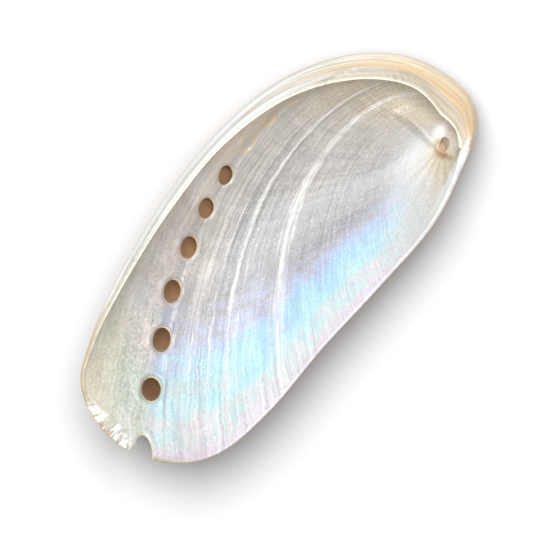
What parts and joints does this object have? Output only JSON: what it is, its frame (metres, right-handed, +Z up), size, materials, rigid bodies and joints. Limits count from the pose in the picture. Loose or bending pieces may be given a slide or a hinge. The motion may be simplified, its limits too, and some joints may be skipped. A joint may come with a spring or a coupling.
{
  "type": "abalone shell",
  "caption": "Polished abalone shell: a long shallow bowl of mother-of-pearl with a rolled inner lip, a small coiled end and a curved row of oval holes, lying on its back.",
  "frame": {"origin": "on the ground under the middle of the shell's bounding box", "axes": "+X along the shell to the coiled end, +Y to the rolled inner lip, +Z up out of the bowl's mouth"},
  "size_m": [0.0902, 0.0408, 0.0171],
  "materials": {
    "nacre": "polished, iridescent silver-white mother-of-pearl"
  },
  "bodies": {
    "root": {"shell": "nacre"}
  },
  "joints": []
}
